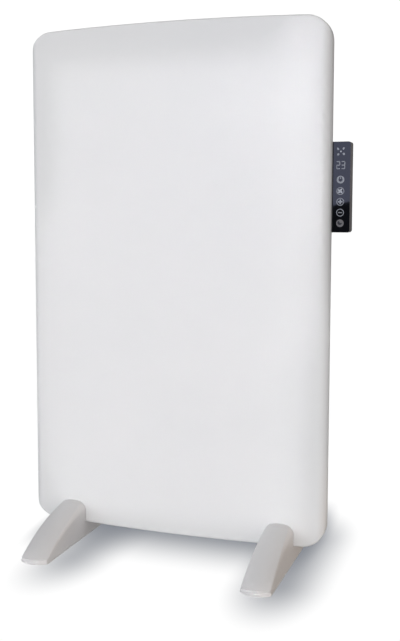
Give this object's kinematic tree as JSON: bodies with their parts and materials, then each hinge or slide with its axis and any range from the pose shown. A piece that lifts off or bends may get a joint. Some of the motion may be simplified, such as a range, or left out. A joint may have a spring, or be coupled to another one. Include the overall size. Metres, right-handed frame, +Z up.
{
  "type": "infrared panel heater",
  "caption": "Free-standing flat infrared panel heater: rolled white sheet front, arched ends, side touch control box and two moulded arched feet.",
  "frame": {"origin": "on the floor, under the middle of the heater's width and of its depth", "axes": "+Z up along the panel's height, +X to the right seen from the heating face, +Y from the heating face to the back"},
  "size_m": [0.5782, 0.3464, 0.9239],
  "materials": {
    "white_coating": "satin powder coat",
    "cover_coating": "fine textured powder coat",
    "laminate": "glass-fibre laminate",
    "carbon_film": "matt printed carbon",
    "copper": "bare copper",
    "foil": "bright foil",
    "fibre_board": "pressed mineral fibre",
    "galvanised_steel": "zinc coated",
    "screw_steel": "zinc plated",
    "phenolic": "moulded phenolic",
    "spring_steel": "plain spring steel",
    "brown_wire": "silicone wire",
    "blue_wire": "silicone wire",
    "earth_wire": "silicone wire",
    "earth_brass": "turned",
    "black_rubber": "moulded",
    "pad_rubber": "moulded",
    "box_plastic": "satin moulded",
    "black_glass": "polished, printed black behind",
    "light_white": "moulded",
    "board_green": "solder mask",
    "display_grey": "moulded",
    "lamp_lens": "clear lens",
    "relay_blue": "moulded case",
    "capacitor_yellow": "moulded case",
    "transformer_tape": "taped core",
    "fuse_metal": "nickel plated",
    "black_component": "moulded case",
    "terminal_white": "moulded nylon",
    "switch_black": "moulded",
    "foot_plastic": "satin moulded"
  },
  "bodies": {
    "heater": {"front_shell": "white_coating", "back_cover": "cover_coating", "front_laminate": "laminate", "rear_laminate": "laminate", "heating_film": "carbon_film", "copper_busbars": "copper", "reflector_foil": "foil", "insulation_board": "fibre_board", "left_rail": "galvanised_steel", "right_rail": "galvanised_steel", "top_rail": "galvanised_steel", "bottom_rail": "galvanised_steel", "lower_cross_rail": "galvanised_steel", "middle_cross_rail": "galvanised_steel", "upper_cross_rail": "galvanised_steel", "left_foot_plate": "galvanised_steel", "right_foot_plate": "galvanised_steel", "cover_screws": "screw_steel", "control_screws": "screw_steel", "box_screws": "screw_steel", "foot_screws": "screw_steel", "wall_nuts": "screw_steel", "upper_cutout": "phenolic", "lower_cutout": "phenolic", "cutout_clips": "spring_steel", "touch_springs": "spring_steel", "live_lead": "brown_wire", "link_lead": "brown_wire", "return_lead": "brown_wire", "neutral_lead": "blue_wire", "earth_lead": "earth_wire", "earth_stud": "earth_brass", "lead_grommet": "black_rubber", "cable_gland": "black_rubber", "foot_pads": "pad_rubber", "control_front": "box_plastic", "control_rear": "box_plastic", "touch_glass": "black_glass", "light_guide": "light_white", "touch_board": "board_green", "power_board": "board_green", "digit_display": "display_grey", "indicator_lamps": "lamp_lens", "relay": "relay_blue", "capacitor": "capacitor_yellow", "transformer": "transformer_tape", "fuse": "fuse_metal", "buzzer": "black_component", "tilt_sensor": "black_component", "terminal_block": "terminal_white", "cord_clamp": "terminal_white", "switch_frame": "switch_black", "left_foot": "foot_plastic", "right_foot": "foot_plastic"},
    "rocker": {"power_rocker": "switch_black"}
  },
  "joints": [
    {"name": "rocker_pivot", "type": "hinge", "parent": "heater", "child": "rocker", "pos_m": [0.20115, 0.0314, 0.589], "axis": [1, 0, 0], "range_deg": [-20, 0]}
  ]
}
